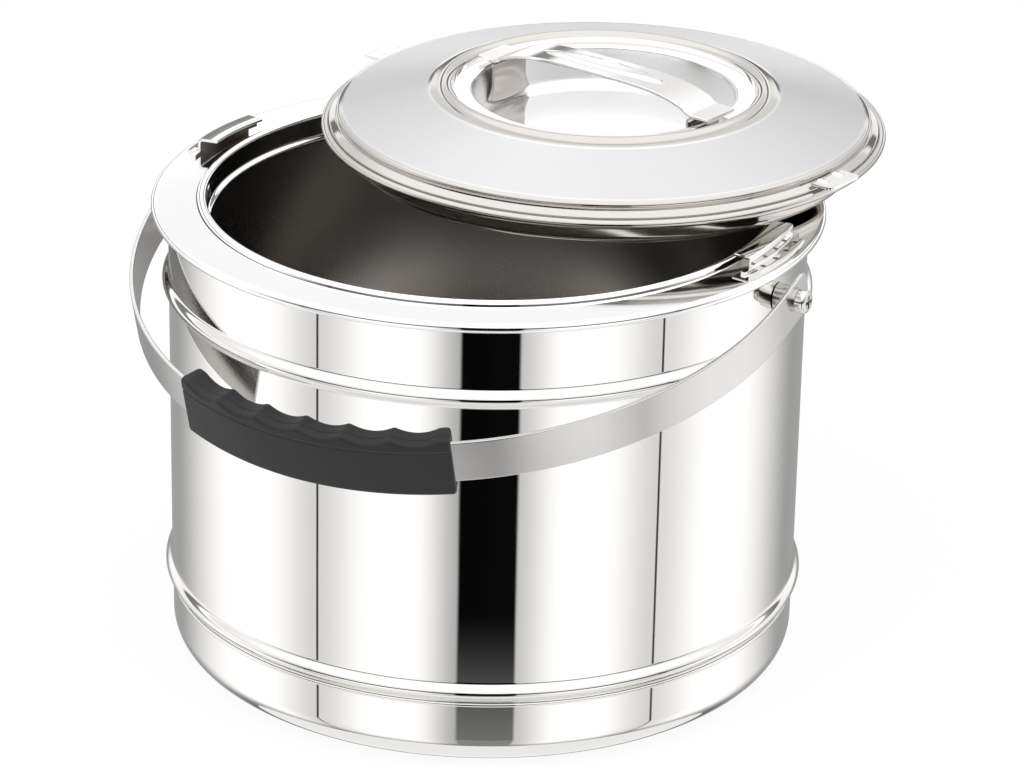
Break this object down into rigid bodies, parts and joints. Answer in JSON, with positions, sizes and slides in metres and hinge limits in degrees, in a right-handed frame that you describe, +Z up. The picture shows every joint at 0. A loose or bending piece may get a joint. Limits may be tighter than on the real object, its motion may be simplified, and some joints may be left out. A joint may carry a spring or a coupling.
{
  "type": "insulated casserole",
  "caption": "Round double-walled steel casserole with a swinging bail and finger grip, and a lift-off insulated lid with twist-lock wings and a recessed handle.",
  "frame": {"origin": "centre of the flat base, on the surface that the pot stands on", "axes": "+Z up along the pot's axis; +X along the bail's pivots and the two lid catches; the lowered bail points to -Y and the lid is pushed back towards +Y"},
  "size_m": [0.2938, 0.3411, 0.2404],
  "materials": {
    "steel_sheet": "mirror-polished stainless steel sheet",
    "lid_steel": "satin conical top with polished rim and recess",
    "hardware_steel": "plain bright steel",
    "grip_plastic": "matte dark grey moulding",
    "foam": "rigid foam, not seen"
  },
  "bodies": {
    "pot": {"outer_shell": "steel_sheet", "base_pan": "steel_sheet", "rim_ring": "steel_sheet", "inner_bowl": "steel_sheet", "body_insulation": "foam", "catch_left": "steel_sheet", "catch_right": "steel_sheet", "pivot_bush_left": "hardware_steel", "pivot_bush_right": "hardware_steel", "pivot_screw_left": "hardware_steel", "pivot_screw_right": "hardware_steel", "pivot_washer_left": "hardware_steel", "pivot_washer_right": "hardware_steel", "backing_plate_left": "hardware_steel", "backing_plate_right": "hardware_steel", "lock_nut_left": "hardware_steel", "lock_nut_right": "hardware_steel"},
    "bail": {"bail_strap": "steel_sheet", "grip_outer": "grip_plastic", "grip_inner": "grip_plastic", "grip_screws": "hardware_steel"},
    "lid_core": {"lid_insulation": "foam"},
    "lid": {"lid_cover": "lid_steel", "lid_liner": "steel_sheet", "lid_handle": "steel_sheet", "handle_bracket_left": "steel_sheet", "handle_bracket_right": "steel_sheet", "lid_wing_left": "steel_sheet", "lid_wing_right": "steel_sheet"}
  },
  "joints": [
    {"name": "bail_swing", "type": "hinge", "parent": "pot", "child": "bail", "pos_m": [0, 0, 0.181], "axis": [-1, 0, 0], "range_deg": [-5, 132]},
    {"name": "lid_lift", "type": "slide", "parent": "pot", "child": "lid_core", "axis": [0, 0, 1], "range_m": [0, 0.16]},
    {"name": "lid_turn", "type": "hinge", "parent": "lid_core", "child": "lid", "pos_m": [0.0196, 0.065, 0.22], "axis": [0, 0, 1], "range_deg": [0, 20]}
  ]
}
